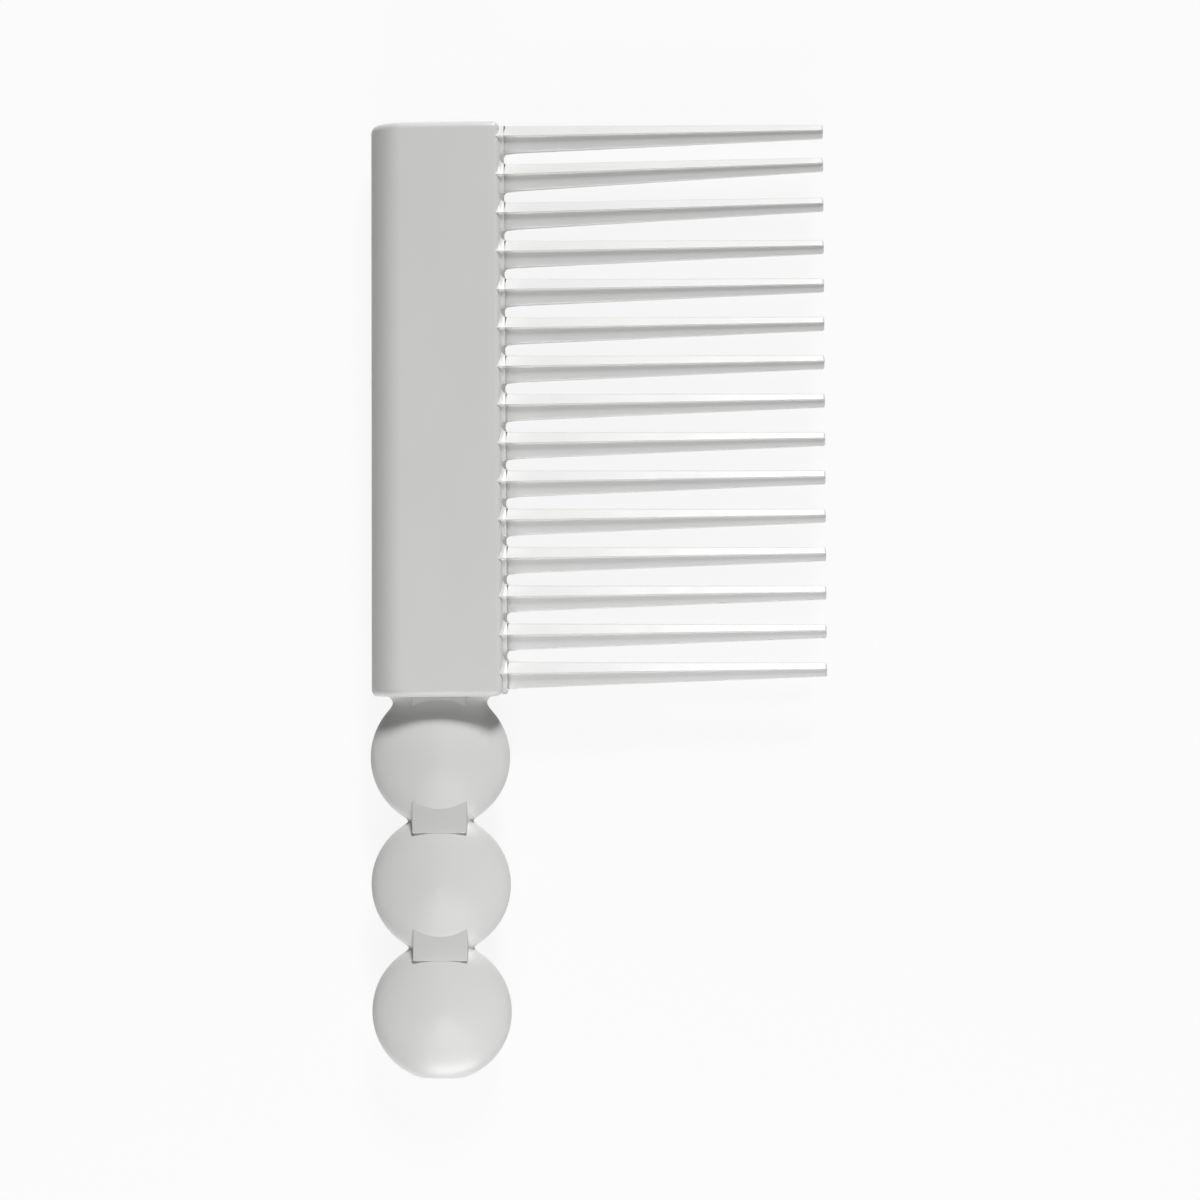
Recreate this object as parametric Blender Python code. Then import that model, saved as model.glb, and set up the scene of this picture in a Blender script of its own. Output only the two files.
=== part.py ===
"""Rake comb with a thick rounded back, long ridged teeth and a handle of three beads.

Run it with: blender --background --python part.py

Lengths are in metres. The comb lies on the flat rear of its back. +X runs along the teeth,
+Y runs from the handle to the far end and +Z comes out of the front. The origin is the middle
of the comb's outline, on the surface that it lies on.

Under the empty named rake_comb, places are counted from the back: x from its outer edge,
y from its handle end and z from its middle plane.
"""

import math

import bmesh
import bpy

# Back
BACK_LENGTH = 0.1376
BACK_WIDTH = 0.0324
BACK_THICKNESS = 0.0170
NOSE_REACH = 0.0082
NOSE_FULLNESS = 1.65
TOOTH_SIDE_ROUNDING = 0.0016
FAR_END_ROUNDING = 0.0011
HANDLE_END_ROUNDING = 0.0019
NOSE_CORNER_RADIUS = 0.0011
TOOTH_CORNER_RADIUS = 0.0020
FAR_END_NARROWING = 0.0008

# Teeth
TOOTH_COUNT = 15
TOOTH_LENGTH = 0.0775
TOOTH_ROOT_HEIGHT = 0.00653
TOOTH_TIP_HEIGHT = 0.00335
TOOTH_ROOT_DEPTH = 0.0058
TOOTH_TIP_DEPTH = 0.0030
TOOTH_TIP_ROUNDING = 0.0005
TOOTH_TIP_LEAN = 0.0009
FIRST_TOOTH_INSET = 0.0033
LAST_TOOTH_INSET = 0.0048
RIDGE_OFFSET_SHARE = 0.07
LAND_SHARE = 0.31
RIDGE_ROUNDING_SHARE = 0.12
LAND_ROUNDING_SHARE = 0.09
HOLLOW_PLACE_SHARE = 0.40
HOLLOW_DEPTH_SHARE = 0.045
HOLLOW_ROUNDING_SHARE = 0.10

# Roots of the teeth on the back
ROOT_LENGTH = 0.0034
RIB_PROUD = 0.0004
RIB_DRAFT = 0.0003
RIB_FILLET = 0.0006
CLIMB_SHARES = (1.0, 0.95, 0.86, 0.71, 0.11, 0.03, 0.0)
ROOT_ANCHOR = 0.0010
ROOT_ANCHOR_HEIGHT_SHARE = 0.8
GAP_FLOOR_RADIUS = 0.0010
GAP_FLOOR_LIMIT_SHARE = 0.42

# Handle
BEAD_COUNT = 3
BEAD_RADIUS = 0.0169
BEAD_THICKNESS = 0.0126
BEAD_OVERLAP = 0.0031
FIRST_BEAD_OVERLAP = 0.0020
BUTT_TRIM = 0.0010
HANDLE_AXIS = 0.0165
COLLAR_WIDTH = 0.0233
COLLAR_HEIGHT = 0.0022
WAIST_WIDTH = 0.0153
WAIST_HEIGHT = 0.0009
COLLAR_DEPTH_SHARE = 0.5

# Necks
NECK_WIDTH = 0.0133
FIRST_NECK_THICKNESS = 0.0075
NECK_THICKNESS = 0.0091
FIRST_NECK_REACH = 0.0036
NECK_REACH_UP = 0.0058
NECK_REACH_DOWN = 0.0027
NECK_EDGE = 0.0003

# Clearance between pieces, and how far a cutter runs past what it cuts
SEAT_GAP = 0.0003
CUTTER_OVERRUN = 0.0020

# Mesh fineness
BACK_LEVEL_STEPS = 16
CORNER_STEPS = 4
TIP_STEPS = 3
BEAD_SEGMENTS = 48
BEAD_RINGS = 14
COLLAR_SEGMENTS = 32
SMOOTH_ANGLE = math.radians(35.0)

# The plastic, and the tone each group of pieces shows
PLASTIC_ROUGHNESS = 0.42
BACK_COLOUR = (0.566, 0.570, 0.552, 1.0)
TOOTH_COLOUR = (0.610, 0.610, 0.596, 1.0)
BEAD_COLOUR = (0.604, 0.604, 0.591, 1.0)
NECK_COLOUR = (0.552, 0.556, 0.539, 1.0)

# Sizes worked out from those above
HALF_BACK = BACK_THICKNESS / 2
HALF_BEAD = BEAD_THICKNESS / 2
HALF_GAP = SEAT_GAP / 2
TOOTH_PITCH = (BACK_LENGTH - FIRST_TOOTH_INSET - LAST_TOOTH_INSET) / (TOOTH_COUNT - 1)
GAP_AT_ROOT = TOOTH_PITCH - TOOTH_ROOT_HEIGHT
FLOOR_RADIUS = min(GAP_FLOOR_RADIUS, GAP_FLOOR_LIMIT_SHARE * GAP_AT_ROOT)
BEAD_PITCH = 2 * BEAD_RADIUS - BEAD_OVERLAP
FIRST_BEAD_Y = FIRST_BEAD_OVERLAP - BEAD_RADIUS
BUTT_Y = FIRST_BEAD_Y - (BEAD_COUNT - 1) * BEAD_PITCH - BEAD_RADIUS + BUTT_TRIM
OUTLINE_LEFT = min(0.0, HANDLE_AXIS - BEAD_RADIUS)
OUTLINE_RIGHT = BACK_WIDTH + TOOTH_LENGTH
OUTLINE_MIDDLE_X = (OUTLINE_LEFT + OUTLINE_RIGHT) / 2
OUTLINE_MIDDLE_Y = (BACK_LENGTH + BUTT_Y) / 2


def clear_scene():
    """Remove every object of the open file."""
    for scene_object in list(bpy.data.objects):
        bpy.data.objects.remove(scene_object, do_unlink=True)


def make_plastic(name, colour):
    """Return the satin moulded plastic in one tone."""
    material = bpy.data.materials.new(name)
    material.use_nodes = True
    shader = material.node_tree.nodes["Principled BSDF"]
    shader.inputs["Base Color"].default_value = colour
    shader.inputs["Roughness"].default_value = PLASTIC_ROUGHNESS
    shader.inputs["Metallic"].default_value = 0.0
    material.diffuse_color = colour
    return material


def add_object(name, mesh_builder, material, parent, location):
    """Make an object from a filled bmesh, shade it and place it under its parent."""
    bmesh.ops.recalc_face_normals(mesh_builder, faces=mesh_builder.faces)
    mesh = bpy.data.meshes.new(name)
    mesh_builder.to_mesh(mesh)
    mesh_builder.free()
    if material is not None:
        mesh.materials.append(material)
    mesh.shade_smooth()
    mesh.set_sharp_from_angle(angle=SMOOTH_ANGLE)
    piece = bpy.data.objects.new(name, mesh)
    bpy.context.collection.objects.link(piece)
    piece.parent = parent
    piece.location = location
    return piece


def hide_guide(guide):
    """Mark an object as a cutter or a guide that is not part of the comb."""
    guide.hide_render = True
    guide.display_type = "WIRE"
    return guide


def add_boolean(piece, operation, other):
    """Join another object to a piece, or cut it out of the piece."""
    modifier = piece.modifiers.new(f"{operation.lower()} {other.name}", "BOOLEAN")
    modifier.operation = operation
    modifier.object = other
    modifier.solver = "EXACT"


def loft_rings(mesh_builder, rings):
    """Join closed rings of equally many points into one capped body."""
    ring_vertices = []
    for ring in rings:
        ring_vertices.append([mesh_builder.verts.new(point) for point in ring])
    for lower, upper in zip(ring_vertices, ring_vertices[1:]):
        for index, vertex in enumerate(lower):
            following = (index + 1) % len(lower)
            mesh_builder.faces.new((vertex, lower[following], upper[following], upper[index]))
    mesh_builder.faces.new(list(reversed(ring_vertices[0])))
    mesh_builder.faces.new(ring_vertices[-1])


def nose_inset(height):
    """Return how far the nose draws in at a height off the middle plane."""
    remaining = max(0.0, 1.0 - abs(height / HALF_BACK) ** NOSE_FULLNESS)
    return NOSE_REACH * (1.0 - remaining ** (1.0 / NOSE_FULLNESS))


def edge_inset(height, rounding):
    """Return how far a side with rounded edges draws in at a height off the middle plane."""
    into_rounding = max(0.0, abs(height) - (HALF_BACK - rounding))
    return rounding - math.sqrt(max(0.0, rounding ** 2 - into_rounding ** 2))


def corner_arc(centre_x, centre_y, radius, start_angle):
    """Return the points of a quarter circle that turns anticlockwise."""
    points = []
    for step in range(CORNER_STEPS + 1):
        angle = start_angle + math.pi / 2 * step / CORNER_STEPS
        points.append((centre_x + radius * math.cos(angle), centre_y + radius * math.sin(angle)))
    return points


def back_ring(height):
    """Return the back's outline at one height off its middle plane."""
    left = nose_inset(height)
    right = BACK_WIDTH - edge_inset(height, TOOTH_SIDE_ROUNDING)
    bottom = edge_inset(height, HANDLE_END_ROUNDING)
    top = BACK_LENGTH - edge_inset(height, FAR_END_ROUNDING)
    tooth_corner = right - TOOTH_CORNER_RADIUS
    nose_corner = left + NOSE_CORNER_RADIUS
    outline = corner_arc(tooth_corner, bottom + TOOTH_CORNER_RADIUS, TOOTH_CORNER_RADIUS, -math.pi / 2)
    outline += corner_arc(tooth_corner, top - TOOTH_CORNER_RADIUS, TOOTH_CORNER_RADIUS, 0.0)
    outline += corner_arc(nose_corner, top - NOSE_CORNER_RADIUS, NOSE_CORNER_RADIUS, math.pi / 2)
    outline += corner_arc(nose_corner, bottom + NOSE_CORNER_RADIUS, NOSE_CORNER_RADIUS, math.pi)
    return [(x + narrowing_at(x, y), y, height) for x, y in outline]


def narrowing_at(x, y):
    """Return how far a point of the back moves in, as the back narrows to its far end."""
    return FAR_END_NARROWING * (y / BACK_LENGTH) * (1.0 - x / BACK_WIDTH)


def tooth_height_at(distance):
    """Return a tooth's height at a distance from the gap floor."""
    return TOOTH_ROOT_HEIGHT + (TOOTH_TIP_HEIGHT - TOOTH_ROOT_HEIGHT) * distance / TOOTH_LENGTH


def tooth_depth_at(distance):
    """Return a tooth's depth, ridge to ridge, at a distance from the gap floor."""
    return TOOTH_ROOT_DEPTH + (TOOTH_TIP_DEPTH - TOOTH_ROOT_DEPTH) * distance / TOOTH_LENGTH


def lean_at(distance):
    """Return how far a tooth's middle line leans to the far end at a distance from the floor."""
    return TOOTH_TIP_LEAN * distance / TOOTH_LENGTH


def rounded_corners(corners, roundings):
    """Return a closed outline whose corners are turned by short arcs.

    Each rounding is (length, steps): how far the arc reaches along both sides of the corner,
    and how many stretches it has.
    """
    outline = []
    for index, corner in enumerate(corners):
        before = corners[index - 1]
        after = corners[(index + 1) % len(corners)]
        reach, steps = roundings[index]
        start = point_towards(corner, before, reach)
        end = point_towards(corner, after, reach)
        for step in range(steps + 1):
            share = step / steps
            outline.append(tuple(
                (1 - share) ** 2 * a + 2 * share * (1 - share) * b + share ** 2 * c
                for a, b, c in zip(start, corner, end)
            ))
    return outline


def point_towards(origin, target, distance):
    """Return the point at a distance from one point towards another."""
    span = math.dist(origin, target)
    return tuple(a + (b - a) * distance / span for a, b in zip(origin, target))


def tooth_section(height, depth, lift=0.0, upper_flare=0.0, lower_flare=0.0):
    """Return a tooth's section as (y, z) points: a soft ridge front and rear, and narrow lands.

    The slopes that face the handle are a little hollow, so they are steepest below the ridge.
    The lift moves the front and the rear slopes apart, as a root does where it climbs the back.
    The flares widen the section towards the neighbouring teeth, as a root does at the gap floor.
    """
    ridge = RIDGE_OFFSET_SHARE * height
    peak = depth / 2 + lift
    land = LAND_SHARE * height / 2 + lift
    upper = height / 2 + upper_flare
    lower = -height / 2 - lower_flare
    hollow_y = ridge + (lower - ridge) * HOLLOW_PLACE_SHARE
    hollow_z = peak + (land - peak) * HOLLOW_PLACE_SHARE - HOLLOW_DEPTH_SHARE * height
    corners = [
        (ridge, peak),
        (hollow_y, hollow_z),
        (lower, land),
        (lower, -land),
        (hollow_y, -hollow_z),
        (ridge, -peak),
        (upper, -land),
        (upper, land),
    ]
    ridge_turn = (RIDGE_ROUNDING_SHARE * height, 2)
    hollow_turn = (HOLLOW_ROUNDING_SHARE * height, 1)
    land_turn = (LAND_ROUNDING_SHARE * height, 1)
    lower_turns = [ridge_turn, hollow_turn, land_turn, land_turn, hollow_turn, ridge_turn]
    return rounded_corners(corners, lower_turns + [land_turn, land_turn])


def climb_stations():
    """Return how a root climbs the back's side to its front and rear edges.

    Each station is (distance, lift): the distance from the gap floor, and how far the slopes of
    the tooth have moved apart there. A fillet turns the climb into the tooth.
    """
    low_peak = TOOTH_ROOT_DEPTH / 2
    stations = []
    for share in CLIMB_SHARES:
        lift = (HALF_BACK - low_peak) * share
        into_fillet = max(0.0, RIB_FILLET - lift)
        fillet = RIB_FILLET - math.sqrt(RIB_FILLET ** 2 - into_fillet ** 2)
        side = edge_inset(low_peak + lift, TOOTH_SIDE_ROUNDING)
        draft = RIB_DRAFT * (1.0 - share)
        stations.append((RIB_PROUD + draft - side + fillet, lift))
    return stations


def root_ring(distance, lift, centre_y, upper_neighbour, height_share=1.0):
    """Return one ring of a root, which climbs the back's side and flares into the gap floors."""
    height = tooth_height_at(distance) * height_share
    depth = tooth_depth_at(distance)
    along_floor = min(max(FLOOR_RADIUS - distance, 0.0), FLOOR_RADIUS)
    flare = FLOOR_RADIUS - math.sqrt(FLOOR_RADIUS ** 2 - along_floor ** 2)
    upper_flare = flare if upper_neighbour else 0.0
    section = tooth_section(height, depth, lift, upper_flare, flare)
    return [(BACK_WIDTH + distance, centre_y + lean_at(distance) + y, z) for y, z in section]


def root_rings(centre_y, upper_neighbour):
    """Return the rings of one root, from its anchor inside the back to the tooth's seat."""
    climb = climb_stations()
    first_distance, first_lift = climb[0]
    anchor = (first_distance - ROOT_ANCHOR, first_lift, centre_y, upper_neighbour, ROOT_ANCHOR_HEIGHT_SHARE)
    rings = [root_ring(*anchor)]
    for distance, lift in climb:
        rings.append(root_ring(distance, lift, centre_y, upper_neighbour))
    rings.append(root_ring(ROOT_LENGTH, 0.0, centre_y, upper_neighbour))
    return rings


def tooth_centre_y(number):
    """Return the height of a tooth's middle line; tooth 1 is at the far end."""
    return BACK_LENGTH - FIRST_TOOTH_INSET - (number - 1) * TOOTH_PITCH


def build_roots(parent):
    """Make the fifteen root stubs, to be joined to the back."""
    mesh_builder = bmesh.new()
    for number in range(1, TOOTH_COUNT + 1):
        loft_rings(mesh_builder, root_rings(tooth_centre_y(number), number > 1))
    return hide_guide(add_object("tooth_roots", mesh_builder, None, parent, (0.0, 0.0, 0.0)))


def build_back(parent):
    """Make the back: a bar with a round nose, a blunt tooth side and the tooth roots."""
    mesh_builder = bmesh.new()
    rings = []
    for step in range(BACK_LEVEL_STEPS + 1):
        angle = -math.pi / 2 + math.pi * step / BACK_LEVEL_STEPS
        rings.append(back_ring(HALF_BACK * math.sin(angle)))
    loft_rings(mesh_builder, rings)
    plastic = make_plastic("back_plastic", BACK_COLOUR)
    back = add_object("comb_back", mesh_builder, plastic, parent, (0.0, 0.0, 0.0))
    add_boolean(back, "UNION", build_roots(parent))
    return back


def tooth_rings():
    """Return the rings of one tooth from its seat on the root to its blunt, rounded tip."""
    seat = ROOT_LENGTH + SEAT_GAP
    rings = [tooth_ring(seat, 0.0)]
    for step in range(TIP_STEPS + 1):
        angle = math.pi / 2 * step / TIP_STEPS
        distance = TOOTH_LENGTH - TOOTH_TIP_ROUNDING * (1.0 - math.sin(angle))
        rings.append(tooth_ring(distance, TOOTH_TIP_ROUNDING * (1.0 - math.cos(angle))))
    return rings


def tooth_ring(distance, draw_in):
    """Return one ring of a tooth, drawn in all round by a length."""
    height = tooth_height_at(distance) - 2 * draw_in
    depth = tooth_depth_at(distance) - 2 * draw_in
    return [(distance, lean_at(distance) + y, z) for y, z in tooth_section(height, depth)]


def build_teeth(parent):
    """Make the teeth, which share one mesh."""
    plastic = make_plastic("tooth_plastic", TOOTH_COLOUR)
    mesh_builder = bmesh.new()
    loft_rings(mesh_builder, tooth_rings())
    first_place = (BACK_WIDTH, tooth_centre_y(1), 0.0)
    first = add_object("tooth_01", mesh_builder, plastic, parent, first_place)
    for number in range(2, TOOTH_COUNT + 1):
        tooth = bpy.data.objects.new(f"tooth_{number:02d}", first.data)
        bpy.context.collection.objects.link(tooth)
        tooth.parent = parent
        tooth.location = (BACK_WIDTH, tooth_centre_y(number), 0.0)


def bead_y(number):
    """Return the place of a bead's middle; bead 1 is next to the back."""
    return FIRST_BEAD_Y - (number - 1) * BEAD_PITCH


def bead_top_y(number):
    """Return the plane where a bead meets the back or the bead above it."""
    return 0.0 if number == 1 else (bead_y(number - 1) + bead_y(number)) / 2


def bead_bottom_y(number):
    """Return the plane where a bead ends: the next bead's top, or the flat butt."""
    return BUTT_Y if number == BEAD_COUNT else bead_top_y(number + 1)


def build_slab(name, parent, top_y, bottom_y):
    """Make the block whose inside is kept of a bead: it sets the flat ends."""
    half_width = BEAD_RADIUS + CUTTER_OVERRUN
    half_depth = HALF_BEAD + CUTTER_OVERRUN
    mesh_builder = bmesh.new()
    loft_rings(mesh_builder, [box_ring(y, half_width, half_depth) for y in (top_y, bottom_y)])
    return hide_guide(add_object(name, mesh_builder, None, parent, (HANDLE_AXIS, 0.0, 0.0)))


def box_ring(y, half_width, half_depth):
    """Return the corners of a rectangle square to the handle."""
    return [
        (half_width, y, half_depth),
        (half_width, y, -half_depth),
        (-half_width, y, -half_depth),
        (-half_width, y, half_depth),
    ]


def build_shoulder(name, parent, width, from_y, to_y):
    """Make the oval shoulder that fills the notch beside a neck."""
    half_depth = HALF_BEAD * COLLAR_DEPTH_SHARE
    mesh_builder = bmesh.new()
    rings = []
    for y in (from_y, to_y):
        ring = []
        for step in range(COLLAR_SEGMENTS):
            angle = math.tau * step / COLLAR_SEGMENTS
            ring.append((width / 2 * math.cos(angle), y, half_depth * math.sin(angle)))
        rings.append(ring)
    loft_rings(mesh_builder, rings)
    return hide_guide(add_object(name, mesh_builder, None, parent, (HANDLE_AXIS, 0.0, 0.0)))


def build_block(name, material, parent, thickness, from_y, to_y, growth=0.0):
    """Make a neck's flat-fronted block between two planes, grown all round by a clearance."""
    half_width = NECK_WIDTH / 2 + growth
    half_depth = thickness / 2 + growth
    mesh_builder = bmesh.new()
    loft_rings(mesh_builder, [box_ring(y, half_width, half_depth) for y in (from_y, to_y)])
    long_edges = [edge for edge in mesh_builder.edges if is_along_y(edge)]
    bmesh.ops.bevel(
        mesh_builder, geom=long_edges, offset=NECK_EDGE + growth, segments=2, profile=0.5,
        affect="EDGES", clamp_overlap=True
    )
    return add_object(name, mesh_builder, material, parent, (HANDLE_AXIS, 0.0, 0.0))


def is_along_y(edge):
    """Return whether an edge runs along the handle."""
    first, second = (vertex.co for vertex in edge.verts)
    return first.x == second.x and first.z == second.z


def neck_span(number):
    """Return the two ends of a neck's block along y."""
    meeting_y = bead_top_y(number)
    if number == 1:
        return meeting_y - SEAT_GAP, meeting_y - FIRST_NECK_REACH
    return meeting_y + NECK_REACH_UP, meeting_y - NECK_REACH_DOWN


def build_necks(parent):
    """Make the necks, and return the cutters of the sockets that they seat in."""
    plastic = make_plastic("neck_plastic", NECK_COLOUR)
    sockets = {}
    for number in range(1, BEAD_COUNT + 1):
        top_y, bottom_y = neck_span(number)
        thickness = FIRST_NECK_THICKNESS if number == 1 else NECK_THICKNESS
        build_block(f"neck_{number}", plastic, parent, thickness, top_y, bottom_y)
        socket_top = top_y + (CUTTER_OVERRUN if number == 1 else SEAT_GAP)
        socket_bottom = bottom_y - SEAT_GAP
        socket = build_block(
            f"socket_{number}", None, parent, thickness, socket_top, socket_bottom, SEAT_GAP
        )
        sockets[number] = hide_guide(socket)
    return sockets


def build_bead(number, plastic, parent):
    """Make one flattened round bead with its shoulders, cut flat at both ends."""
    mesh_builder = bmesh.new()
    bmesh.ops.create_uvsphere(mesh_builder, u_segments=BEAD_SEGMENTS, v_segments=BEAD_RINGS, radius=BEAD_RADIUS)
    flattening = (1.0, 1.0, HALF_BEAD / BEAD_RADIUS)
    bmesh.ops.scale(mesh_builder, vec=flattening, verts=mesh_builder.verts)
    bmesh.ops.translate(mesh_builder, vec=(0.0, bead_y(number), 0.0), verts=mesh_builder.verts)
    bead = add_object(f"bead_{number}", mesh_builder, plastic, parent, (HANDLE_AXIS, 0.0, 0.0))
    top_y = bead_top_y(number) - (SEAT_GAP if number == 1 else HALF_GAP)
    bottom_y = bead_bottom_y(number) + (0.0 if number == BEAD_COUNT else HALF_GAP)
    upper_width, upper_height = (COLLAR_WIDTH, COLLAR_HEIGHT) if number == 1 else (WAIST_WIDTH, WAIST_HEIGHT)
    above = top_y + CUTTER_OVERRUN
    upper = build_shoulder(f"upper_shoulder_{number}", parent, upper_width, above, top_y - upper_height)
    add_boolean(bead, "UNION", upper)
    if number < BEAD_COUNT:
        below = bottom_y - CUTTER_OVERRUN
        lower = build_shoulder(
            f"lower_shoulder_{number}", parent, WAIST_WIDTH, below, bottom_y + WAIST_HEIGHT
        )
        add_boolean(bead, "UNION", lower)
    add_boolean(bead, "INTERSECT", build_slab(f"slab_{number}", parent, top_y, bottom_y))
    return bead


def build_beads(parent, sockets):
    """Make the beads, and open in them the sockets of the necks."""
    plastic = make_plastic("bead_plastic", BEAD_COLOUR)
    for number in range(1, BEAD_COUNT + 1):
        bead = build_bead(number, plastic, parent)
        add_boolean(bead, "DIFFERENCE", sockets[number])
        if number < BEAD_COUNT:
            add_boolean(bead, "DIFFERENCE", sockets[number + 1])


def main():
    """Build the comb."""
    clear_scene()
    comb = bpy.data.objects.new("rake_comb", None)
    bpy.context.collection.objects.link(comb)
    comb.location = (-OUTLINE_MIDDLE_X, -OUTLINE_MIDDLE_Y, HALF_BACK)
    build_back(comb)
    build_teeth(comb)
    build_beads(comb, build_necks(comb))


main()
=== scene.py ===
"""Looks of a moulded rake comb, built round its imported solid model.

Lengths are in metres. The comb lies on the flat rear of its back: +X runs along the teeth, +Y
from the handle to the far end and +Z out of the front. Each class builds one group of the
comb's pieces in mesh code, and dresses them in satin plastic.
"""

import logging
import math
from dataclasses import dataclass
from enum import Enum

import bmesh
import bpy
from mathutils import Euler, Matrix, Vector


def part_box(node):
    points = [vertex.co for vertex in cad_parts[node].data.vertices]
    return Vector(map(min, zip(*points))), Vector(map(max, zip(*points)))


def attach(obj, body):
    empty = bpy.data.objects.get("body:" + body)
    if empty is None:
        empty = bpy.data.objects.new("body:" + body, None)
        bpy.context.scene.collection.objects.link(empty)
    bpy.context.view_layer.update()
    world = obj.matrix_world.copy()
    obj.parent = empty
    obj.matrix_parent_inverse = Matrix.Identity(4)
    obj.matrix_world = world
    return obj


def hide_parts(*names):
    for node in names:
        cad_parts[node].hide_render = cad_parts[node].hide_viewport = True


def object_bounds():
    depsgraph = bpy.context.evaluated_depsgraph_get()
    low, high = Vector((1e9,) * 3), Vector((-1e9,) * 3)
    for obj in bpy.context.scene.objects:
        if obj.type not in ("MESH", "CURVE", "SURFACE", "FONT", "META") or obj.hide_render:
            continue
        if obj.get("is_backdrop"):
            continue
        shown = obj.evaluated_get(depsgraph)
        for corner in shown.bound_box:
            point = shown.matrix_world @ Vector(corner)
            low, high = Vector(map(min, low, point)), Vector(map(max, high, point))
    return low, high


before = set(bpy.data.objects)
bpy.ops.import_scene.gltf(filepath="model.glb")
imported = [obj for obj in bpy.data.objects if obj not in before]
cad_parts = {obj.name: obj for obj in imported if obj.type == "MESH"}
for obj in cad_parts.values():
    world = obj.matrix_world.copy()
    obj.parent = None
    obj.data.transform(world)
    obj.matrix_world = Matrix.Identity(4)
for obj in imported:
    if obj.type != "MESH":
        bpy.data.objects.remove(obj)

LOG = logging.getLogger("rake_comb")
BODY = "root"
CLOUD_ROUGHNESS = 0.55
CLOUD_MIDDLE = (0.3, 0.7)
WHITE = (1.0, 1.0, 1.0, 1.0)

Pair = tuple[float, float]
Point = tuple[float, float, float]
Ring = list[Point]


class Slot(Enum):
    """Names of material slots for the comb's pieces; the script does not use them."""

    BACK = "back_plastic"
    TOOTH = "tooth_plastic"
    BEAD = "bead_plastic"
    NECK = "neck_plastic"


class RayKind(Enum):
    """The kinds of ray that see the floor as plain white."""

    CAMERA = "Is Camera Ray"
    GLOSSY = "Is Glossy Ray"
    TRANSMISSION = "Is Transmission Ray"


def oval_inset(rise_share: float, reach: float, fullness: float) -> float:
    """Work out how far a rounded side draws in at a share of its full rise.

    Args:
        rise_share: Place between the middle, 0, and either edge, 1 or -1.
        reach: How far the side draws in at the edge.
        fullness: Power of the curve: 2 is an oval, and more is blunter.

    Returns:
        The length by which the side draws in.
    """
    remaining = max(0.0, 1.0 - abs(rise_share) ** fullness)
    return reach * (1.0 - remaining ** (1.0 / fullness))


def soft_max(first: float, second: float, blend: float) -> float:
    """Return the larger of two lengths, eased over where they cross.

    Args:
        first: One length.
        second: The other length.
        blend: How close the two are where the easing starts.

    Returns:
        The eased length.
    """
    nearness = max(0.0, blend - abs(first - second)) / blend
    return max(first, second) + blend * nearness ** 2 / 4


@dataclass(frozen=True)
class CombPlaces:
    """Where the groups of pieces lie, as the frame's boxes give it."""

    nose_x: float
    wall_x: float
    tip_x: float
    handle_end_y: float
    far_end_y: float
    middle_z: float
    half_back: float
    tooth_ys: tuple[float, ...]
    handle_x: float
    bead_radius: float
    half_bead: float
    bead_ys: tuple[float, ...]
    butt_y: float

    @classmethod
    def from_frame(cls, tooth_count: int, root_length: float, seat_gap: float) -> "CombPlaces":
        """Read the places from the frame.

        Args:
            tooth_count: How many teeth there are.
            root_length: Length of the root stub that each tooth sits on.
            seat_gap: Clearance between neighbouring solids.

        Returns:
            The places.
        """
        back_low, back_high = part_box("comb_back")
        tooth_boxes = [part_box(f"tooth_{number:02d}") for number in range(1, tooth_count + 1)]
        bead_low, bead_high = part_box("bead_2")
        bead_pitch = bead_high.y - bead_low.y + seat_gap
        second_bead_y = (bead_low.y + bead_high.y) / 2
        return cls(
            nose_x=back_low.x,
            wall_x=back_high.x - root_length,
            tip_x=tooth_boxes[0][1].x,
            handle_end_y=back_low.y,
            far_end_y=back_high.y,
            middle_z=(back_low.z + back_high.z) / 2,
            half_back=(back_high.z - back_low.z) / 2,
            tooth_ys=tuple((low.y + high.y) / 2 for low, high in tooth_boxes),
            handle_x=(bead_low.x + bead_high.x) / 2,
            bead_radius=(bead_high.x - bead_low.x) / 2,
            half_bead=(bead_high.z - bead_low.z) / 2,
            bead_ys=(second_bead_y + bead_pitch, second_bead_y, second_bead_y - bead_pitch),
            butt_y=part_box("bead_3")[0].y,
        )


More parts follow.
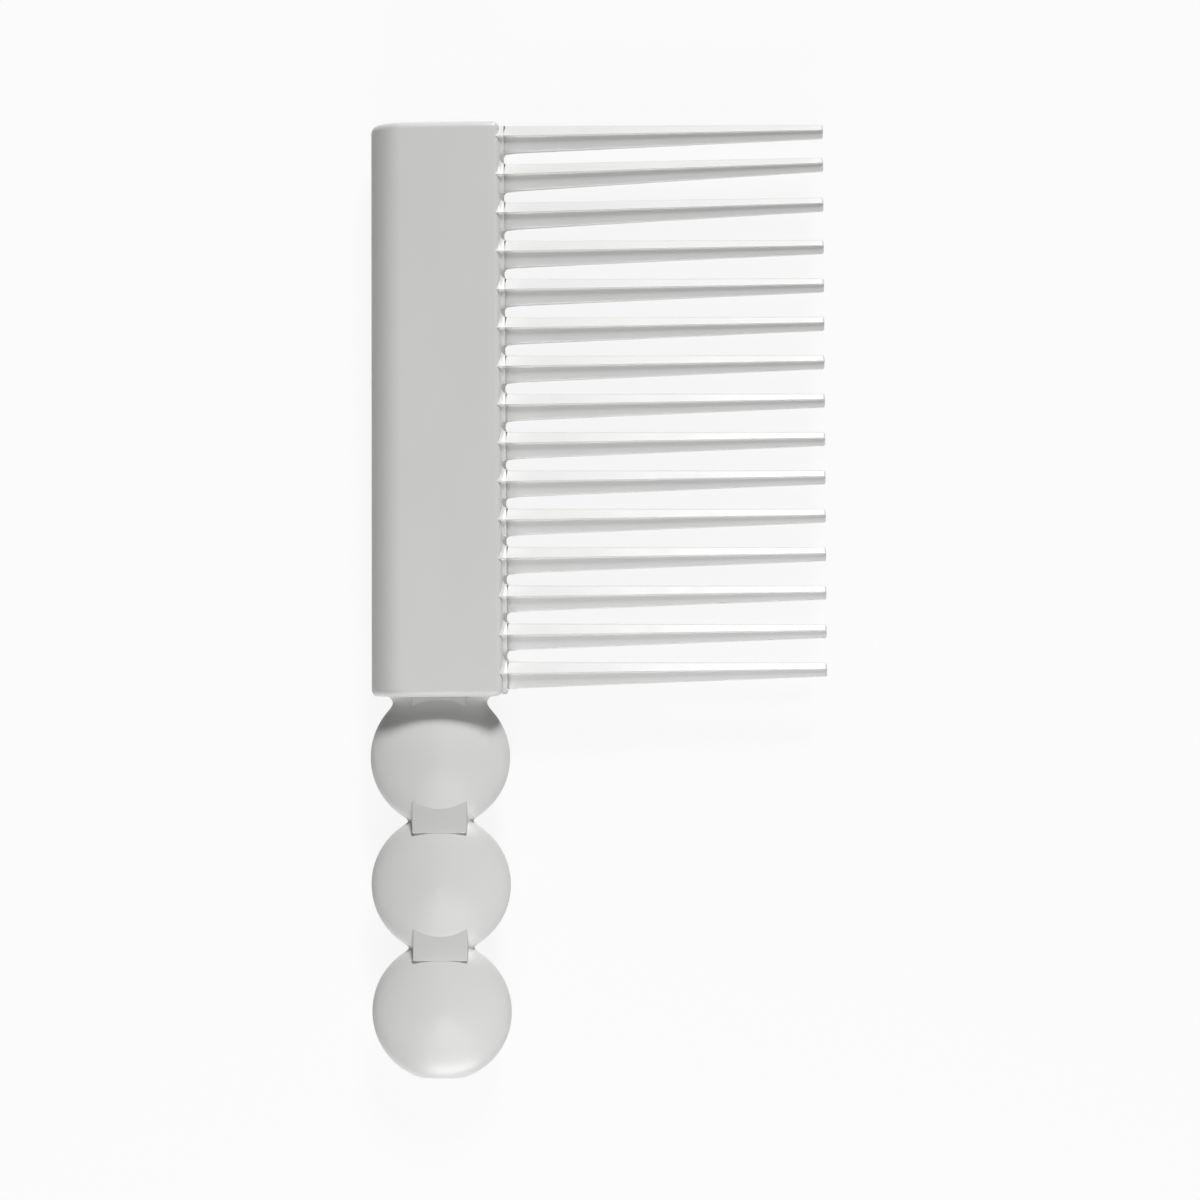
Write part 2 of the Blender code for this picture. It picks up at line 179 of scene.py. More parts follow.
class NodeBench:
    """A material's node tree, and short ways to add to it."""

    def __init__(self, name: str) -> None:
        """Start an empty node tree.

        Args:
            name: Name of the material.
        """
        self.material = bpy.data.materials.new(name)
        self.material.use_nodes = True
        self.tree = self.material.node_tree
        self.tree.nodes.clear()

    def add(self, kind: str, **inputs: object) -> bpy.types.Node:
        """Add a node and fill its input sockets.

        Args:
            kind: The node's type.
            inputs: A value, or a socket to link, for each input by its name, with underscores for
                the spaces.

        Returns:
            The new node.
        """
        node = self.tree.nodes.new(kind)
        for key, value in inputs.items():
            self.feed(node, key.replace("_", " "), value)
        return node

    def feed(self, node: bpy.types.Node, socket_name: str, value: object) -> None:
        """Set or link one input.

        Args:
            node: The node that takes the value.
            socket_name: Name of its input.
            value: A number, a colour, or the output socket of another node.
        """
        socket = node.inputs[socket_name]
        if isinstance(value, bpy.types.NodeSocket):
            self.tree.links.new(value, socket)
        else:
            socket.default_value = value

    def noise(self, scale: float, detail: float, vector: bpy.types.NodeSocket) -> bpy.types.NodeSocket:
        """Add a cloud pattern.

        Args:
            scale: Clouds in a metre.
            detail: How many finer layers it has.
            vector: The place on the surface.

        Returns:
            The socket of the pattern's strength, 0 to 1.
        """
        node = self.add("ShaderNodeTexNoise", Vector=vector, Scale=scale, Detail=detail)
        self.feed(node, "Roughness", CLOUD_ROUGHNESS)
        return node.outputs["Fac"]

    def spread(
        self,
        value: bpy.types.NodeSocket,
        low: float,
        high: float,
        middle: Pair = CLOUD_MIDDLE,
    ) -> bpy.types.NodeSocket:
        """Stretch a pattern's middle range to run between two values.

        Args:
            value: The pattern, 0 to 1.
            low: The value for its low parts.
            high: The value for its high parts.
            middle: The pattern's strengths where the range starts and ends.

        Returns:
            The socket of the stretched pattern.
        """
        node = self.add("ShaderNodeMapRange", Value=value, To_Min=low, To_Max=high)
        for socket_name, limit in zip(("From Min", "From Max"), middle):
            self.feed(node, socket_name, limit)
        return node.outputs["Result"]

    def blend_colours(
        self, share: bpy.types.NodeSocket, first: object, second: object
    ) -> bpy.types.NodeSocket:
        """Mix two colours.

        Args:
            share: How much of the second colour shows.
            first: A colour or a colour socket.
            second: A colour or a colour socket.

        Returns:
            The socket of the mixed colour.
        """
        node = self.tree.nodes.new("ShaderNodeMix")
        node.data_type = "RGBA"
        self.tree.links.new(share, node.inputs[0])
        for index, value in ((6, first), (7, second)):
            if isinstance(value, bpy.types.NodeSocket):
                self.tree.links.new(value, node.inputs[index])
            else:
                node.inputs[index].default_value = value
        return node.outputs[2]


@dataclass(frozen=True)
class SatinPlastic:
    """Pale grey moulded plastic with a fine satin skin."""

    name: str
    colour: tuple[float, float, float]
    roughness: float = 0.36
    roughness_drift: float = 0.04
    tone_drift: float = 0.022
    cloud_scale: float = 34.0
    patch_scale: float = 136.0
    streak_stretch: Point = (1.0, 0.35, 1.0)
    grain_scale: float = 2600.0
    grain_depth: float = 0.000010
    ripple_scale: float = 95.0
    ripple_depth: float = 0.000035
    worn_pointiness: Pair = (0.53, 0.62)
    wear_lightening: float = 0.03
    refraction: float = 1.49
    specular: float = 0.42

    def shade(self, factor: float) -> tuple[float, float, float, float]:
        """Return the colour made lighter or darker by a factor."""
        red, green, blue = (min(1.0, channel * factor) for channel in self.colour)
        return (red, green, blue, 1.0)

    def build(self) -> bpy.types.Material:
        """Make the material.

        Returns:
            A node material with drifting tone, a grained skin and lighter worn edges.
        """
        bench = NodeBench(self.name)
        place = bench.add("ShaderNodeTexCoord").outputs["Object"]
        flow = bench.add("ShaderNodeMapping", Vector=place, Scale=self.streak_stretch).outputs["Vector"]
        clouds = bench.noise(self.cloud_scale, 3.0, flow)
        darker, lighter = self.shade(1.0 - self.tone_drift), self.shade(1.0 + self.tone_drift)
        toned = bench.blend_colours(bench.spread(clouds, 0.0, 1.0), darker, lighter)
        edges = bench.add("ShaderNodeNewGeometry").outputs["Pointiness"]
        worn = bench.spread(edges, 0.0, 1.0, self.worn_pointiness)
        colour = bench.blend_colours(worn, toned, self.shade(1.0 + self.wear_lightening))
        patches = bench.noise(self.patch_scale, 4.0, place)
        smooth, rough = self.roughness - self.roughness_drift, self.roughness + self.roughness_drift
        gloss = bench.spread(patches, smooth, rough)
        grain = bench.noise(self.grain_scale, 2.0, place)
        ripple = bench.noise(self.ripple_scale, 2.0, flow)
        waves = bench.add("ShaderNodeBump", Height=ripple, Strength=1.0, Distance=self.ripple_depth)
        skin = bench.add("ShaderNodeBump", Height=grain, Strength=1.0, Distance=self.grain_depth)
        bench.feed(skin, "Normal", waves.outputs["Normal"])
        shader = bench.add("ShaderNodeBsdfPrincipled", Base_Color=colour, Roughness=gloss)
        bench.feed(shader, "Normal", skin.outputs["Normal"])
        bench.feed(shader, "Metallic", 0.0)
        bench.feed(shader, "IOR", self.refraction)
        bench.feed(shader, "Specular IOR Level", self.specular)
        bench.add("ShaderNodeOutputMaterial", Surface=shader.outputs["BSDF"])
        bench.material.diffuse_color = self.shade(1.0)
        return bench.material


class MouldedPiece:
    """A closed mesh under construction, which becomes one visible piece of the comb."""

    def __init__(self, name: str) -> None:
        """Start an empty mesh.

        Args:
            name: Name of the finished piece.
        """
        self.name = name
        self.draft = bmesh.new()

    def add_loft(self, rings: list[Ring]) -> None:
        """Join closed rings of equally many points into one capped body.

        Args:
            rings: The rings in order.
        """
        made = [[self.draft.verts.new(point) for point in ring] for ring in rings]
        for lower, upper in zip(made, made[1:]):
            for index, vertex in enumerate(lower):
                following = (index + 1) % len(lower)
                self.draft.faces.new((vertex, lower[following], upper[following], upper[index]))
        self.draft.faces.new(list(reversed(made[0])))
        self.draft.faces.new(made[-1])

    def finish(
        self, material: bpy.types.Material, nodes: list[str], smooth_angle: float = 40.0
    ) -> bpy.types.Object:
        """Turn the draft into a shaded piece that stands for solids of the frame.

        Args:
            material: What the piece is made of.
            nodes: Names of the solids that it stands for.
            smooth_angle: Sharpest turn, in degrees, that still shades smoothly.

        Returns:
            The finished object.
        """
        bmesh.ops.recalc_face_normals(self.draft, faces=self.draft.faces)
        mesh = bpy.data.meshes.new(self.name)
        self.draft.to_mesh(mesh)
        self.draft.free()
        mesh.materials.append(material)
        mesh.shade_smooth()
        mesh.set_sharp_from_angle(angle=math.radians(smooth_angle))
        piece = bpy.data.objects.new(self.name, mesh)
        bpy.context.collection.objects.link(piece)
        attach(piece, BODY)
        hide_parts(*nodes)
        return piece


@dataclass(frozen=True)
class CombBack:
    """The thick back: a round nose on the left and a blunt side for the teeth."""

    places: CombPlaces
    plastic: SatinPlastic
    nose_reach: float = 0.0082
    nose_fullness: float = 1.9
    wall_rounding: float = 0.0016
    least_rounding: float = 0.0003
    far_end_rounding: float = 0.0018
    handle_end_rounding: float = 0.0019
    nose_corner: float = 0.0011
    tooth_corner: float = 0.0020
    far_end_narrowing: float = 0.0008
    nose_steps: int = 64
    face_steps: int = 10
    turn_steps: int = 8
    end_steps: int = 10
    body_steps: int = 40
    flat_share: float = 0.985

    def wall_inset(self, height: float) -> float:
        """Return how far the tooth side draws in at a height off the middle plane."""
        into = max(0.0, abs(height) - (self.places.half_back - self.wall_rounding))
        return self.wall_rounding - math.sqrt(max(0.0, self.wall_rounding ** 2 - into ** 2))

    def stations(self) -> list[tuple[float, float, float, float]]:
        """List where the sections lie, from the handle end to the far end.

        Returns:
            The place along y, and how far the faces, the nose and the tooth side draw in there.
        """
        at = self.places
        ends = []
        for rounding in (self.handle_end_rounding, self.far_end_rounding):
            nose_share = min(1.0, self.nose_corner / rounding)
            rows = []
            for step in range(self.end_steps + 1):
                angle = math.pi / 2 * step / self.end_steps
                depth = self.tooth_corner * (1.0 - math.cos(angle))
                left_over = max(0.0, rounding - depth)
                inset = rounding - math.sqrt(rounding ** 2 - left_over ** 2)
                rows.append((depth, inset, inset * nose_share, self.tooth_corner * (1.0 - math.sin(angle))))
            ends.append(rows)
        stations = [(at.handle_end_y + depth, *insets) for depth, *insets in ends[0]]
        first, last = at.handle_end_y + self.tooth_corner, at.far_end_y - self.tooth_corner
        for step in range(1, self.body_steps):
            stations.append((first + (last - first) * step / self.body_steps, 0.0, 0.0, 0.0))
        return stations + [(at.far_end_y - depth, *insets) for depth, *insets in reversed(ends[1])]

    def turn(self, x: float, height: float, radius: float, from_degrees: float) -> list[Pair]:
        """Make a quarter turn of a section, clockwise.

        Args:
            x: Place of the turn's centre across the back.
            height: Its place off the middle plane.
            radius: Radius of the turn.
            from_degrees: Angle where it starts.

        Returns:
            The turn's points, as places across the back and off the middle plane.
        """
        points = []
        for step in range(self.turn_steps + 1):
            angle = math.radians(from_degrees - 90.0 * step / self.turn_steps)
            points.append((x + radius * math.cos(angle), height + radius * math.sin(angle)))
        return points

    def ring(
        self, y: float, inset: float, nose_inset: float, wall_inset: float, shrink: float = 1.0
    ) -> Ring:
        """Make the section at one place along the back.

        Args:
            y: The place.
            inset: How far the front and the rear draw in.
            nose_inset: How far the nose draws in.
            wall_inset: How far the tooth side draws in.
            shrink: Scale about the section's middle.

        Returns:
            The section's points.
        """
        at = self.places
        half = at.half_back - inset
        right = at.wall_x - wall_inset
        left = at.nose_x + nose_inset
        rounding = max(self.least_rounding, self.wall_rounding - inset)
        outline = []
        for step in range(self.nose_steps + 1):
            height = math.sin(math.pi * (step / self.nose_steps - 0.5))
            outline.append((left + oval_inset(height, self.nose_reach, self.nose_fullness), half * height))
        flat_start, flat_end = left + self.nose_reach, right - rounding
        width = flat_end - flat_start
        flat = [flat_start + width * step / self.face_steps for step in range(1, self.face_steps)]
        outline += [(x, half) for x in flat]
        outline += self.turn(flat_end, half - rounding, rounding, 90.0)
        outline += self.turn(flat_end, rounding - half, rounding, 0.0)
        outline += [(x, -half) for x in reversed(flat)]
        along = (y - at.handle_end_y) / (at.far_end_y - at.handle_end_y)
        middle_x = (left + right) / 2
        points = []
        for x, height in outline:
            moved_x = x + self.far_end_narrowing * along * (right - x) / (right - left)
            points.append((middle_x + (moved_x - middle_x) * shrink, y, at.middle_z + height * shrink))
        return points

    def build(self) -> bpy.types.Object:
        """Make the back.

        Returns:
            The finished piece.
        """
        stations = self.stations()
        rings = [self.ring(*stations[0], self.flat_share)]
        rings += [self.ring(*station) for station in stations]
        rings.append(self.ring(*stations[-1], self.flat_share))
        piece = MouldedPiece("comb_back_moulding")
        piece.add_loft(rings)
        return piece.finish(self.plastic.build(), ["comb_back"])


@dataclass(frozen=True)
class ToothRow:
    """Fifteen tapered teeth with a soft ridge front and rear, and roots that climb the back's side."""

    places: CombPlaces
    back: CombBack
    # The teeth's plastic is given a lighter grey than the back's: painted light on the teeth.
    plastic: SatinPlastic
    root_height: float = 0.00653
    tip_height: float = 0.00335
    root_depth: float = 0.0058
    tip_depth: float = 0.0030
    tip_rounding: float = 0.0005
    tip_lean: float = 0.0009
    bent_tips: tuple[tuple[int, float], ...] = ((2, 0.00136), (3, 0.00097))
    ridge_offset_share: float = 0.07
    land_share: float = 0.36
    ridge_turn_share: float = 0.03
    land_turn_share: float = 0.06
    hollow_place_share: float = 0.035
    hollow_depth_share: float = 0.095
    hollow_turn_share: float = 0.04
    straight_share: float = 0.12
    ridge_steps: int = 6
    land_steps: int = 3
    hollow_steps: int = 6
    rib_proud: float = 0.0004
    cap_reach: float = 0.0010
    cap_fall: float = 0.03
    cap_undercut: float = 0.00042
    root_lean: float = 1.81
    upright_y: float = 0.0201
    floor_radius: float = 0.0013
    climb_steps: int = 18
    shaft_steps: int = 24
    tip_steps: int = 5

    def height_at(self, run: float) -> float:
        """Return a tooth's height at a distance from the back's side."""
        return self.root_height + (self.tip_height - self.root_height) * run / self.length()

    def depth_at(self, run: float) -> float:
        """Return a tooth's depth, ridge to ridge, at a distance from the back's side."""
        return self.root_depth + (self.tip_depth - self.root_depth) * run / self.length()

    def length(self) -> float:
        """Return the teeth's length from the back's side to their tips."""
        return self.places.tip_x - self.places.wall_x

    def rounded(self, corners: list[Vector], turns: list[tuple[float, int]]) -> list[Vector]:
        """Turn the corners of a closed outline by short curves.

        Args:
            corners: The corners in order.
            turns: For each corner, how far its curve reaches and how many stretches it has.

        Returns:
            The points of the outline.
        """
        curves = []
        for index, corner in enumerate(corners):
            reach, steps = turns[index]
            start = corner + (corners[index - 1] - corner).normalized() * reach
            end = corner + (corners[(index + 1) % len(corners)] - corner).normalized() * reach
            curve = []
            for step in range(steps + 1):
                share = step / steps
                curve.append((1 - share) ** 2 * start + 2 * share * (1 - share) * corner + share ** 2 * end)
            curves.append(curve)
        outline = []
        for index, curve in enumerate(curves):
            straight_end = curves[(index + 1) % len(curves)][0]
            outline += curve
            for share in (self.straight_share, 0.5, 1.0 - self.straight_share):
                outline.append(curve[-1].lerp(straight_end, share))
        return outline

    def section(self, height: float, depth: float, lift: float, flares: Pair) -> list[Vector]:
        """Make a tooth's section: a soft ridge front and rear, hollow lower slopes, narrow lands.

        Args:
            height: Height of the tooth there.
            depth: Depth from ridge to ridge, without the lift.
            lift: How far the ridges are raised, front and rear, as the root climbs.
            flares: How far the section spreads up and down towards its neighbours.

        Returns:
            Points whose x is along the back and y is off the middle plane.
        """
        ridge = self.ridge_offset_share * height
        land = self.land_share * height / 2 + lift
        peak = depth / 2 + lift
        upper = height / 2 + flares[0]
        lower = -height / 2 - flares[1]
        hollow_y = ridge + (lower - ridge) * self.hollow_place_share
        hollow_z = peak + (land - peak) * self.hollow_place_share - self.hollow_depth_share * height
        corners = [
            Vector((ridge, peak)),
            Vector((hollow_y, hollow_z)),
            Vector((lower, land)),
            Vector((lower, -land)),
            Vector((hollow_y, -hollow_z)),
            Vector((ridge, -peak)),
            Vector((upper, -land)),
            Vector((upper, land)),
        ]
        ridge_turn = (self.ridge_turn_share * height, self.ridge_steps)
        hollow_turn = (self.hollow_turn_share * height, self.hollow_steps)
        land_turn = (self.land_turn_share * height, self.land_steps)
        lower_turns = [ridge_turn, hollow_turn, land_turn, land_turn, hollow_turn, ridge_turn]
        return self.rounded(corners, lower_turns + [land_turn, land_turn])

    def climb(self) -> list[Pair]:
        """List how a root climbs the back's side.

        Returns:
            Pairs of the distance from the back's side and the lift of the ridges, inmost first.
        """
        full_lift = self.places.half_back - self.root_depth / 2
        start = self.rib_proud - self.back.wall_inset(self.places.half_back)
        stations = []
        for step in range(self.climb_steps + 1):
            out = step / self.climb_steps
            run = start + (self.cap_reach - start) * out
            stations.append((run, full_lift * (1.0 - self.cap_fall * out)))
        stations.append((self.cap_reach - self.cap_undercut, 0.0))
        return stations

    def flare_at(self, run: float) -> float:
        """Return how far a root spreads sideways at a distance from the back's side."""
        along = min(max(self.floor_radius - run, 0.0), self.floor_radius)
        return self.floor_radius - math.sqrt(self.floor_radius ** 2 - along ** 2)

    def place(self, section: list[Vector], run: float, number: int, lift: float = 0.0) -> Ring:
        """Put a section of a tooth in its place.

        Args:
            section: The section's points.
            run: Distance from the back's side.
            number: The tooth's number.
            lift: How far the ridges are raised there; the raised front leans towards the handle.

        Returns:
            The ring of points.
        """
        at = self.places
        tip_lean = self.tip_lean + dict(self.bent_tips).get(number, 0.0)
        centre_y = at.tooth_ys[number - 1] + tip_lean * max(0.0, run) / self.length()
        root_lean = self.root_lean * (centre_y - at.handle_end_y - self.upright_y) * lift
        land = self.land_share * self.root_height / 2 + lift
        points = []
        for point in section:
            y = centre_y + point.x - root_lean * max(-1.0, min(1.0, point.y / land))
            points.append((at.wall_x + run, min(y, at.far_end_y), at.middle_z + point.y))
        return points

    def rings(self, number: int) -> list[Ring]:
        """Make the rings of one tooth.

        Args:
            number: The tooth's number; tooth 1 is at the far end.

        Returns:
            Its rings, from inside the back to the tip.
        """
        climb = self.climb()
        first_run, first_lift = climb[0]
        runs = [(first_run - self.rib_proud, first_lift)] + climb
        last_run = runs[-1][0]
        shaft = self.length() - self.tip_rounding - last_run
        for step in range(1, self.shaft_steps + 1):
            runs.append((last_run + shaft * step / self.shaft_steps, 0.0))
        rings = []
        for run, lift in runs:
            outside = max(run, 0.0)
            flare = self.flare_at(outside)
            flares = (0.0 if number == 1 else flare, flare)
            section = self.section(self.height_at(outside), self.depth_at(outside), lift, flares)
            rings.append(self.place(section, run, number, lift))
        for step in range(1, self.tip_steps + 1):
            angle = math.pi / 2 * step / self.tip_steps
            run = self.length() - self.tip_rounding * (1.0 - math.sin(angle))
            draw_in = 2 * self.tip_rounding * (1.0 - math.cos(angle))
            height, depth = self.height_at(run) - draw_in, self.depth_at(run) - draw_in
            rings.append(self.place(self.section(height, depth, 0.0, (0.0, 0.0)), run, number))
        return rings

    def build(self) -> list[bpy.types.Object]:
        """Make the teeth.

        Returns:
            The finished pieces, one for each tooth.
        """
        material = self.plastic.build()
        pieces = []
        for number in range(1, len(self.places.tooth_ys) + 1):
            piece = MouldedPiece(f"tooth_{number:02d}_moulding")
            piece.add_loft(self.rings(number))
            pieces.append(piece.finish(material, [f"tooth_{number:02d}"]))
        return pieces


@dataclass(frozen=True)
class BeadedHandle:
    """Three flattened beads in line, joined by flat-fronted necks."""

    places: CombPlaces
    bead_plastic: SatinPlastic
    # neck_plastic carries a darker grey than the beads: painted shade on the necks.
    neck_plastic: SatinPlastic
    waist_half_width: float = 0.0075
    waist_blend: float = 0.0018
    collar_half_width: float = 0.0114
    collar_blend: float = 0.0012
    collar_fillet: float = 0.0020
    run_into_back: float = 0.0010
    neck_half_width: float = 0.00665
    neck_half_depth: float = 0.00355
    first_neck_half_depth: float = 0.00275
    neck_slope: float = 0.00010
    collar_crown_width: float = 0.0075
    crown_power: float = 1.3
    crown_fall: float = 0.55
    neck_reach_up: float = 0.0058
    neck_reach_down: float = 0.0027
    first_neck_reach_down: float = 0.0036
    neck_edge: float = 0.00035
    neck_edge_steps: int = 4
    neck_smooth_angle: float = 50.0
    station_spacing: float = 0.00035
    segments: int = 112

    def half_width(self, y: float) -> float:
        """Work out half the width of the string of beads.

        Args:
            y: Place along the handle.

        Returns:
            Half the width there, eased where beads meet each other and the back.
        """
        radius = self.places.bead_radius
        circles = [math.sqrt(max(0.0, radius ** 2 - (y - bead_y) ** 2)) for bead_y in self.places.bead_ys]
        width = circles[0]
        for circle in circles[1:]:
            width = soft_max(width, circle, self.waist_blend)
        if y > self.places.butt_y + radius:
            width = soft_max(width, self.waist_half_width, self.waist_blend)
        if y > self.places.bead_ys[0]:
            width = soft_max(width, self.collar_width(y), self.collar_blend)
        return width

    def collar_width(self, y: float) -> float:
        """Return half the width of the collar, which spreads in a fillet under the back."""
        below = self.places.handle_end_y - y
        into = min(max(0.0, self.collar_fillet - below), self.collar_fillet)
        return self.collar_half_width + self.collar_fillet - math.sqrt(self.collar_fillet ** 2 - into ** 2)

    def ring(self, y: float) -> Ring:
        """Return the section of the string of beads at one place, with a domed front and rear."""
        half_width = crown_width = self.half_width(y)
        rise_y = y - self.places.bead_ys[0]
        if rise_y > 0.0:
            circle = math.sqrt(max(0.0, self.places.bead_radius ** 2 - rise_y ** 2))
            crown_width = soft_max(circle, self.collar_crown_width, self.collar_blend)
        points = []
        for step in range(self.segments):
            angle = math.tau * step / self.segments
            inside = min(1.0, (crown_width * math.sin(angle) / self.places.bead_radius) ** 2)
            rise = (1.0 - (1.0 - inside) ** (self.crown_power / 2)) ** self.crown_fall
            z = self.places.middle_z + math.copysign(self.places.half_bead * rise, math.sin(angle))
            points.append((self.places.handle_x + half_width * math.cos(angle), y, z))
        return points

    def build_beads(self) -> bpy.types.Object:
        """Make the string of beads as one moulding.

        Returns:
            The finished piece.
        """
        start = self.places.handle_end_y + self.run_into_back
        span = start - self.places.butt_y
        count = round(span / self.station_spacing)
        piece = MouldedPiece("handle_beads_moulding")
        piece.add_loft([self.ring(start - span * step / count) for step in range(count + 1)])
        return piece.finish(self.bead_plastic.build(), ["bead_1", "bead_2", "bead_3"])

    def build_neck(self, number: int, material: bpy.types.Material) -> bpy.types.Object:
        """Make one neck's flat-fronted block.

        Args:
            number: The neck's number, counted from the back.
            material: What it is made of.

        Returns:
            The finished piece.
        """
        at = self.places
        first = number == 1
        meeting_y = at.handle_end_y if first else (at.bead_ys[number - 2] + at.bead_ys[number - 1]) / 2
        top_y = meeting_y + (self.run_into_back if first else self.neck_reach_up)
        bottom_y = meeting_y - (self.first_neck_reach_down if first else self.neck_reach_down)
        half_depth = self.first_neck_half_depth if first else self.neck_half_depth
        corners = [(1, 1), (1, -1), (-1, -1), (-1, 1)]
        rings = []
        for y, depth in ((top_y, half_depth), (bottom_y, half_depth - (0.0 if first else self.neck_slope))):
            ring = []
            for side, face in corners:
                ring.append((at.handle_x + side * self.neck_half_width, y, at.middle_z + face * depth))
            rings.append(ring)
        piece = MouldedPiece(f"neck_{number}_moulding")
        piece.add_loft(rings)
        bmesh.ops.bevel(
            piece.draft, geom=list(piece.draft.edges), offset=self.neck_edge, segments=self.neck_edge_steps,
            profile=0.5, affect="EDGES", clamp_overlap=True
        )
        return piece.finish(material, [f"neck_{number}"], self.neck_smooth_angle)

    def build(self) -> list[bpy.types.Object]:
        """Make the handle.

        Returns:
            The finished pieces: the beads, then the necks.
        """
        pieces = [self.build_beads()]
        # The necks' darker grey is painted shade.
        neck_material_painted_shade = self.neck_plastic.build()
        for number in range(1, len(self.places.bead_ys) + 1):
            pieces.append(self.build_neck(number, neck_material_painted_shade))
        return pieces


@dataclass(frozen=True)
class StudioFloor:
    """A plain pale floor that looks white and keeps the comb's shadow."""

    half_size: float = 3.0
    colour: tuple[float, float, float] = (0.62, 0.62, 0.62)
    white_share: float = 0.91
    drop: float = 0.00005

    def build(self) -> None:
        """Make the floor and mark it as stage."""
        mesh = bpy.data.meshes.new("studio_floor")
        sides = ((-1, -1), (1, -1), (1, 1), (-1, 1))
        corners = [(across * self.half_size, along * self.half_size, -self.drop) for across, along in sides]
        mesh.from_pydata(corners, [], [(0, 1, 2, 3)])
        mesh.materials.append(self.build_material())
        floor = bpy.data.objects.new("studio_floor", mesh)
        bpy.context.collection.objects.link(floor)
        floor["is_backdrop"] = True

    def build_material(self) -> bpy.types.Material:
        """Make the floor's paint, mostly plain white to the camera and to reflections.

        Returns:
            The material.
        """
        bench = NodeBench("studio_floor_paint")
        paint = bench.add("ShaderNodeBsdfDiffuse", Color=(*self.colour, 1.0)).outputs["BSDF"]
        glow = bench.add("ShaderNodeEmission", Color=WHITE, Strength=1.0).outputs["Emission"]
        rays = bench.add("ShaderNodeLightPath")
        seen = rays.outputs[RayKind.CAMERA.value]
        for kind in (RayKind.GLOSSY, RayKind.TRANSMISSION):
            either = bench.tree.nodes.new("ShaderNodeMath")
            either.operation = "MAXIMUM"
            bench.tree.links.new(seen, either.inputs[0])
            bench.tree.links.new(rays.outputs[kind.value], either.inputs[1])
            seen = either.outputs["Value"]
        share = bench.tree.nodes.new("ShaderNodeMath")
        share.operation = "MULTIPLY"
        bench.tree.links.new(seen, share.inputs[0])
        share.inputs[1].default_value = self.white_share
        mix = bench.tree.nodes.new("ShaderNodeMixShader")
        bench.tree.links.new(share.outputs["Value"], mix.inputs[0])
        bench.tree.links.new(paint, mix.inputs[1])
        bench.tree.links.new(glow, mix.inputs[2])
        bench.add("ShaderNodeOutputMaterial", Surface=mix.outputs["Shader"])
        return bench.material


@dataclass(frozen=True)
class SoftLamp:
    """A large soft lamp, aimed at the comb."""

    name: str
    direction: Point
    distance: float
    width: float
    height: float
    power: float

    def build(self, target: Vector) -> None:
        """Make the lamp.

        Args:
            target: The point that it faces.
        """
        data = bpy.data.lights.new(self.name, "AREA")
        data.shape = "RECTANGLE"
        data.size = self.width
        data.size_y = self.height
        data.energy = self.power
        lamp = bpy.data.objects.new(self.name, data)
        away = Vector(self.direction).normalized()
        lamp.location = target + away * self.distance
        lamp.rotation_euler = (-away).to_track_quat("-Z", "Y").to_euler()
        bpy.context.collection.objects.link(lamp)


@dataclass(frozen=True)
class Studio:
    """The floor, the lamps round the comb, and even light from all sides."""

    floor: StudioFloor
    lamps: tuple[SoftLamp, ...]
    ambient: float = 0.01

    def build(self, target: Vector) -> None:
        """Set up the studio.

        Args:
            target: The point that the lamps face.
        """
        self.floor.build()
        for lamp in self.lamps:
            lamp.build(target)
            LOG.info("lamp %s: %.2f W", lamp.name, lamp.power)
        bpy.context.scene.world = self.build_air()

    def build_air(self) -> bpy.types.World:
        """Make the faint even light from all sides, which the camera sees as plain white.

        Returns:
            The world.
        """
        world = bpy.data.worlds.new("studio_air")
        world.use_nodes = True
        tree = world.node_tree
        tree.nodes.clear()
        skies = []
        for strength in (self.ambient, 1.0):
            sky = tree.nodes.new("ShaderNodeBackground")
            sky.inputs["Color"].default_value = WHITE
            sky.inputs["Strength"].default_value = strength
            skies.append(sky.outputs["Background"])
        mix = tree.nodes.new("ShaderNodeMixShader")
        rays = tree.nodes.new("ShaderNodeLightPath")
        tree.links.new(rays.outputs[RayKind.CAMERA.value], mix.inputs[0])
        tree.links.new(skies[0], mix.inputs[1])
        tree.links.new(skies[1], mix.inputs[2])
        output = tree.nodes.new("ShaderNodeOutputWorld")
        tree.links.new(mix.outputs["Shader"], output.inputs["Surface"])
        return world


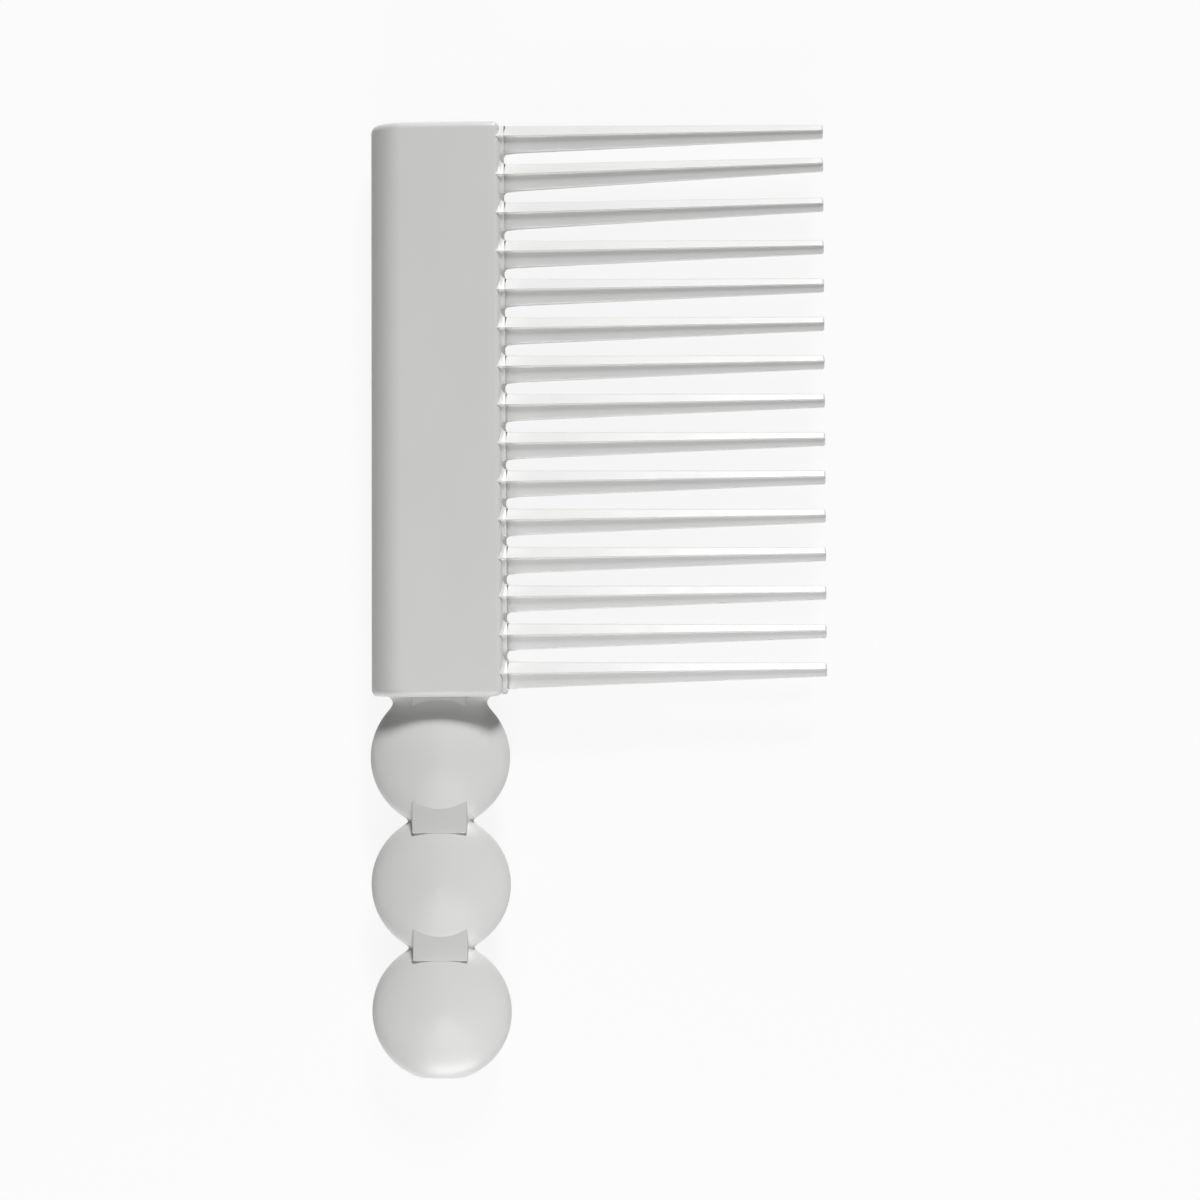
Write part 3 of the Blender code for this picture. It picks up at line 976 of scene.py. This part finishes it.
@dataclass(frozen=True)
class PhotoCamera:
    """The camera, placed from the back's corner between its nose and its handle end."""

    from_corner: Point = (0.07399, 0.02013, 0.55744)
    turn_degrees: Point = (0.27, 1.91, -0.41)
    lens: float = 69.3
    sensor_width: float = 36.0
    nearest: float = 0.01
    farthest: float = 20.0

    def build(self, places: CombPlaces) -> None:
        """Make the scene's camera.

        Args:
            places: Where the comb lies.
        """
        data = bpy.data.cameras.new("photo_camera")
        data.sensor_width = self.sensor_width
        data.lens = self.lens
        data.clip_start = self.nearest
        data.clip_end = self.farthest
        camera = bpy.data.objects.new("photo_camera", data)
        corner = Vector((places.nose_x, places.handle_end_y, places.middle_z))
        camera.location = corner + Vector(self.from_corner)
        camera.rotation_euler = Euler([math.radians(turn) for turn in self.turn_degrees], "XYZ")
        bpy.context.collection.objects.link(camera)
        bpy.context.scene.camera = camera


def build_scene() -> None:
    """Build the comb, the studio and the camera, in that order."""
    logging.basicConfig(level=logging.INFO, format="%(name)s: %(message)s")
    solid_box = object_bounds()
    places = CombPlaces.from_frame(tooth_count=15, root_length=0.0034, seat_gap=0.0003)
    grey = (0.620, 0.622, 0.606)
    # The teeth's grey is about 5 per cent lighter than the back's: painted light, standing in for the
    # brighter light that the teeth's upper slopes catch.
    tooth_grey_painted_light = (0.650, 0.652, 0.636)
    # The necks' grey is about 15 per cent darker than the back's: painted shade, standing in for the shade
    # that the necks lie in between the beads.
    neck_grey_painted_shade = (0.530, 0.532, 0.517)
    back = CombBack(places, SatinPlastic("back_satin", grey))
    teeth = ToothRow(places, back, SatinPlastic("tooth_satin_painted_light", tooth_grey_painted_light))
    handle = BeadedHandle(places, SatinPlastic("bead_satin", grey), SatinPlastic("neck_satin_painted_shade", neck_grey_painted_shade))
    for piece in [back.build()] + teeth.build() + handle.build():
        LOG.info("piece %s: %d faces", piece.name, len(piece.data.polygons))
    middle = (solid_box[0] + solid_box[1]) / 2
    lamps = (
        SoftLamp("key_far_end", (0.184, 0.864, 0.469), 2.0, 0.46, 0.32, 43.5),
        SoftLamp("low_handle_end", (0.0, -0.914, 0.407), 0.75, 0.45, 0.16, 4.0),
        SoftLamp("high_handle_end", (0.0, -0.588, 0.809), 0.75, 0.45, 0.16, 1.4),
    )
    Studio(StudioFloor(), lamps).build(middle)
    PhotoCamera().build(places)
    bpy.context.scene.view_settings.view_transform = "Standard"


if __name__ == "__main__":
    build_scene()
